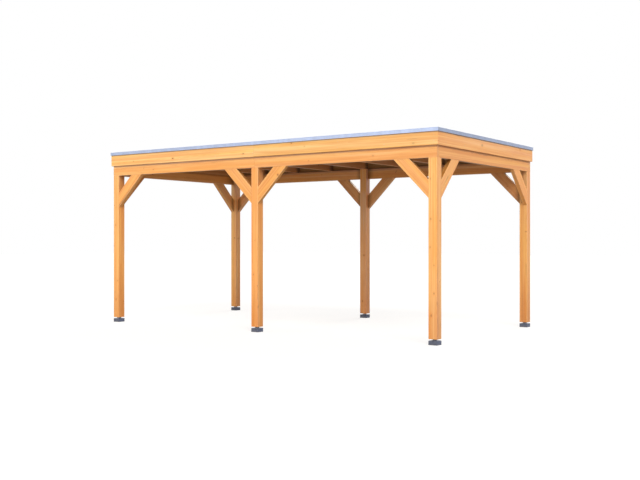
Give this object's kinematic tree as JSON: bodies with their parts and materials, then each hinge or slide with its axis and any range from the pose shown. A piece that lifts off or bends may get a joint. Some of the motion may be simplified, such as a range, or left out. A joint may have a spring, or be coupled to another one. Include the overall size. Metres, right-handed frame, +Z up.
{
  "type": "patio cover",
  "caption": "Free-standing timber patio cover with a flat roof, square posts on adjustable feet, knee braces, a board fascia and a pale metal roof-edge trim.",
  "frame": {"origin": "on the ground at the centre of the feet", "axes": "+X along the long side to the right seen from the front, +Y to the back, +Z up"},
  "size_m": [5.872, 3.072, 2.704],
  "materials": {
    "post_timber": "planed softwood, clear finish",
    "beam_timber": "planed softwood, clear finish",
    "brace_timber": "planed softwood, clear finish",
    "rafter_timber": "planed softwood, clear finish",
    "deck_boards": "planed softwood boards",
    "fascia_timber": "planed softwood, clear finish",
    "foot_steel": "satin dark grey coating",
    "adjuster_steel": "satin dark grey coating",
    "trim_metal": "satin pale grey coating",
    "roofing_rubber": "matte"
  },
  "bodies": {
    "root": {"foot_front_left": "foot_steel", "foot_front_middle": "foot_steel", "foot_front_right": "foot_steel", "foot_back_left": "foot_steel", "foot_back_middle": "foot_steel", "foot_back_right": "foot_steel", "foot_adjusters": "adjuster_steel", "post_front_left": "post_timber", "post_front_middle": "post_timber", "post_front_right": "post_timber", "post_back_left": "post_timber", "post_back_middle": "post_timber", "post_back_right": "post_timber", "beam_front_left": "beam_timber", "beam_front_right": "beam_timber", "beam_back_left": "beam_timber", "beam_back_right": "beam_timber", "beam_left_side": "beam_timber", "beam_right_side": "beam_timber", "brace_front_left": "brace_timber", "brace_front_middle_left": "brace_timber", "brace_front_middle_right": "brace_timber", "brace_front_right": "brace_timber", "brace_back_left": "brace_timber", "brace_back_middle_left": "brace_timber", "brace_back_middle_right": "brace_timber", "brace_back_right": "brace_timber", "brace_left_side_front": "brace_timber", "brace_left_side_back": "brace_timber", "brace_right_side_front": "brace_timber", "brace_right_side_back": "brace_timber", "rafters": "rafter_timber", "roof_deck": "deck_boards", "roofing_sheet": "roofing_rubber", "fascia_front_left": "fascia_timber", "fascia_front_right": "fascia_timber", "fascia_back_left": "fascia_timber", "fascia_back_right": "fascia_timber", "fascia_left_side": "fascia_timber", "fascia_right_side": "fascia_timber", "edge_trim_front": "trim_metal", "edge_trim_right": "trim_metal", "edge_trim_back": "trim_metal", "edge_trim_left": "trim_metal"}
  },
  "joints": []
}
